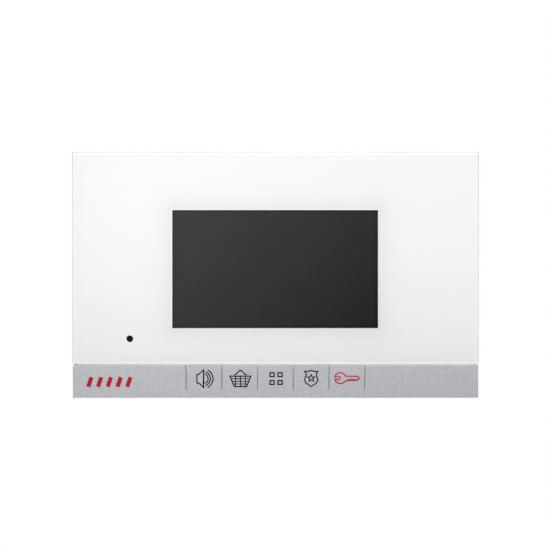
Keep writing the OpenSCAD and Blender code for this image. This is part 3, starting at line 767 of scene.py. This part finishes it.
def guard_mark():
    """A shield with a five-pointed star."""
    half = [(0, 4.0), (1.1, 3.5), (3.1, 3.45), (2.4, 2.3), (2.45, 1.3), (3.05, 0.1)]
    half += [(3.0, -1.0), (2.3, -2.2), (0.95, -3.0), (0, -3.65)]
    outline = half + [(-x, z) for x, z in half[-2:0:-1]]
    star = []
    for i in range(10):
        radius = 1.8 if i % 2 == 0 else 0.75
        angle = math.radians(90 + 36 * i)
        star.append((radius * math.cos(angle), 0.25 + radius * math.sin(angle)))
    return [(outline, True, STROKE_MM), (star, True, STROKE_MM)]


def unlock_mark():
    """A key with a slotted round bow and a toothed blade."""
    bow_x, bow_z, bow_r = -3.15, 0.25, 2.6
    outline = arc(bow_x, bow_z, bow_r, 22, 166, 16)
    outline += arc(bow_x - 0.75, bow_z, 0.75, 120, -120, 12)
    outline += arc(bow_x, bow_z, bow_r, 194, 330, 16)
    for i in range(5):
        outline += [(0.2 + 0.95 * i, -0.95), (0.65 + 0.95 * i, -0.3)]
    outline += [(5.0, -0.75), (5.9, 0.25), (4.9, 1.15)]
    return [(outline, True, STROKE_MM)]


MARKS = {
    "speaker": speaker_mark,
    "basket": basket_mark,
    "menu": menu_mark,
    "guard": guard_mark,
    "unlock": unlock_mark,
}
MARK_LIFT = -0.72 * MM


def print_keys():
    """Each key's mark rides on its key. The unlock mark is red, the others are black."""
    for key in KEYS:
        middle = centre_of(f"key_{key}")
        origin = Vector((middle.x, STRIP_FACE, middle.z + MARK_LIFT))
        material = RED_INK if key == "unlock" else BLACK_INK
        printed(f"mark_{key}", MARKS[key](), origin, material, f"key_{key}")


BADGE_X, BADGE_Z = 17.3 * MM, 7.5 * MM
BAR_COUNT = 5


def print_badge():
    """Slanted red bars, a plain stand-in for lettering."""
    origin = Vector((STRIP_LOW.x + BADGE_X, STRIP_FACE, STRIP_LOW.z + BADGE_Z))
    half_h, slant, pitch, width = 2.3, 0.8, 4.6, 2.0
    bars = []
    for i in range(BAR_COUNT):
        x = (i - (BAR_COUNT - 1) / 2) * pitch
        bars.append(([(x - slant, -half_h), (x + slant, half_h)], False, width))
    printed("badge_bars", bars, origin, RED_INK, "monitor")


def print_label():
    """The rating label carries only a border and blank grey fields."""
    margin, side, first, pitch, step = 1.2, 2.0, 4.0, 3.2, 1.5
    border_width, field_width, fields = 0.25, 0.5, 6
    low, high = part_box("label_plate")
    middle = (low + high) / 2
    origin = Vector((middle.x, high.y + INK_DEPTH, middle.z))
    half_w = (high.x - low.x) * PER_MM / 2 - margin
    half_h = (high.z - low.z) * PER_MM / 2 - margin
    border = [(-half_w, -half_h), (-half_w, half_h), (half_w, half_h), (half_w, -half_h)]
    strokes = [(border, True, border_width)]
    for i in range(fields):
        z = half_h - first - i * pitch
        ends = [(-half_w + side, z), (half_w - side - step * (i % 3), z)]
        strokes.append((ends, False, field_width))
    printed("label_fields", strokes, origin, GREY_INK, "monitor")


# ------------------------------------------------------------------ camera, light and floor

LENS_MM = 120.0
SENSOR_MM = 36.0
VIEW_WIDTH = 0.25943
CAMERA_SIDE = -0.24 * MM
KEY_PLACE = (0.5, -0.9, 0.6)
KEY_TARGET = (0.5, -0.02, 0.042)
KEY_SIZE = (1.3, 0.2)
KEY_POWER = 0.496
KEY_SPREAD_DEG = 12


def add_camera():
    """Straight in front of the glass, with a long lens."""
    data = bpy.data.cameras.new("camera")
    data.lens = LENS_MM
    data.sensor_width = SENSOR_MM
    data.clip_start = 0.01
    data.clip_end = 50
    camera = bpy.data.objects.new("camera", data)
    distance = VIEW_WIDTH / 2 / (SENSOR_MM / 2 / LENS_MM)
    camera.location = (CAMERA_SIDE, cad_box[0][1] - distance, 0.0)
    camera.rotation_euler = (math.radians(90), 0, 0)
    bpy.context.scene.collection.objects.link(camera)
    bpy.context.scene.camera = camera


def add_softbox(name, location, target, size, power, spread_deg):
    """A rectangular area lamp aimed at target, whose light keeps within spread_deg."""
    data = bpy.data.lights.new(name, "AREA")
    data.shape = "RECTANGLE"
    data.size, data.size_y = size
    data.energy = power
    data.spread = math.radians(spread_deg)
    lamp = bpy.data.objects.new(name, data)
    lamp.location = location
    aim = Vector(target) - Vector(location)
    lamp.rotation_euler = aim.to_track_quat("-Z", "Y").to_euler()
    bpy.context.scene.collection.objects.link(lamp)


SKY_LOW, SKY_HIGH = 0.2, 0.85
SKY_PER_X = 0.12
FRONT_CONE, FRONT_DIM = (0.0, 0.9), 0.38
LEFT_CONE, LEFT_GLOW = (0.75, 1.0), 1.1
GROUND_CONE, GROUND_GLOW = (0.25, 1.0), 1.3
RING_OUT, RING_IN, RING_GAIN = (0.87, 0.93), (0.955, 0.975), 0.8
RING_PER_X, RING_PER_Z, RING_LIMITS = -1.2, 1.0, (0.0, 2.0)
DARK_CONE, DARK_MIDDLE = (0.95, 0.985), 0.36
DARK_PER_X, DARK_PER_Z, DARK_LIMITS = -4.2, 3.9, (0.02, 1.0)


def slope(world, way, middle, per_x, per_z, low, high):
    """A brightness that changes evenly with the X and Z of a direction, between two limits."""
    value = world.math("ADD", world.math("MULTIPLY", way["X"], per_x), middle)
    value = world.math("ADD", world.math("MULTIPLY", way["Z"], per_z), value)
    return world.math("MINIMUM", world.math("MAXIMUM", value, low), high)


def room_light(world, way, to_camera):
    """A pale room: brighter overhead, dim towards the camera, with a glow at the left and below."""
    sky = world.span(way["Z"], -1.0, 1.0, SKY_LOW, SKY_HIGH)
    sky = world.math("ADD", world.math("MULTIPLY", way["X"], SKY_PER_X), sky)
    sky = world.math("MULTIPLY", sky, world.span(to_camera, *FRONT_CONE, 1.0, FRONT_DIM))
    left = world.math("MULTIPLY", way["X"], -1.0)
    down = world.math("MULTIPLY", way["Z"], -1.0)
    sky = world.math("ADD", sky, world.span(left, *LEFT_CONE, 0.0, LEFT_GLOW))
    return world.math("ADD", sky, world.span(down, *GROUND_CONE, 0.0, GROUND_GLOW))


def ring_light(world, way, to_camera):
    """A soft bright ring round the camera, stronger at the upper left."""
    rise = world.span(to_camera, *RING_OUT, 0.0, 1.0)
    fall = world.span(to_camera, *RING_IN, 1.0, 0.0)
    gain = slope(world, way, RING_GAIN, RING_PER_X, RING_PER_Z, *RING_LIMITS)
    return world.math("MULTIPLY", world.math("MULTIPLY", rise, fall), gain)


def lit_room(world):
    """The brightness of the room in each direction, with a dim, sloping grey behind the camera."""
    coordinates = world.node("ShaderNodeTexCoord")
    split = world.node("ShaderNodeSeparateXYZ")
    world.link(coordinates.outputs["Generated"], split.inputs[0])
    way = split.outputs
    to_camera = world.math("MULTIPLY", way["Y"], -1.0)
    room = world.math("ADD", room_light(world, way, to_camera), ring_light(world, way, to_camera))
    dark = slope(world, way, DARK_MIDDLE, DARK_PER_X, DARK_PER_Z, *DARK_LIMITS)
    blend = world.node("ShaderNodeMix", data_type="FLOAT")
    world.link(world.span(to_camera, *DARK_CONE, 0.0, 1.0), blend.inputs[0])
    world.link(room, blend.inputs[2])
    world.link(dark, blend.inputs[3])
    return blend.outputs[0]


def add_world():
    """White to the eye, and the lit room to everything else."""
    studio = bpy.data.worlds.new("studio")
    studio.use_nodes = True
    bpy.context.scene.world = studio
    world = Tree(studio.node_tree)
    world.tree.nodes.clear()
    light = world.node("ShaderNodeBackground")
    seen = world.node("ShaderNodeBackground")
    for background in (light, seen):
        background.inputs["Color"].default_value = (1, 1, 1, 1)
    world.link(lit_room(world), light.inputs["Strength"])
    pick = world.node("ShaderNodeMixShader")
    world.link(world.node("ShaderNodeLightPath").outputs["Is Camera Ray"], pick.inputs[0])
    world.link(light.outputs[0], pick.inputs[1])
    world.link(seen.outputs[0], pick.inputs[2])
    world.link(pick.outputs[0], world.node("ShaderNodeOutputWorld").inputs[0])


FLOOR_RADIUS = 1.0
FLOOR_DROP = 0.25


def add_floor():
    """A round pale floor, far enough below to stay out of the front view and its reflections."""
    mesh = bmesh.new()
    bmesh.ops.create_circle(mesh, cap_ends=True, segments=96, radius=FLOOR_RADIUS)
    data = bpy.data.meshes.new("floor")
    mesh.to_mesh(data)
    mesh.free()
    floor = bpy.data.objects.new("floor", data)
    floor.location.z = cad_box[0][2] - FLOOR_DROP
    data.materials.append(pale_floor())
    bpy.context.scene.collection.objects.link(floor)
    floor.visible_glossy = False


def add_key_light():
    """One wide soft box above the camera.

    Its narrow spread makes the light fall off below the middle of the face and at its left end.
    """
    add_softbox("key", KEY_PLACE, KEY_TARGET, KEY_SIZE, KEY_POWER, KEY_SPREAD_DEG)


def set_view_transform():
    """Plain colours, with no film look on top."""
    settings = bpy.context.scene.view_settings
    settings.view_transform = "Standard"
    settings.look = "None"
    settings.exposure = 0.0
    settings.gamma = 1.0


paint_nodes()
grind_glass_edge()
round_nodes()
print_keys()
print_badge()
print_label()
add_camera()
add_world()
add_key_light()
add_floor()
set_view_transform()
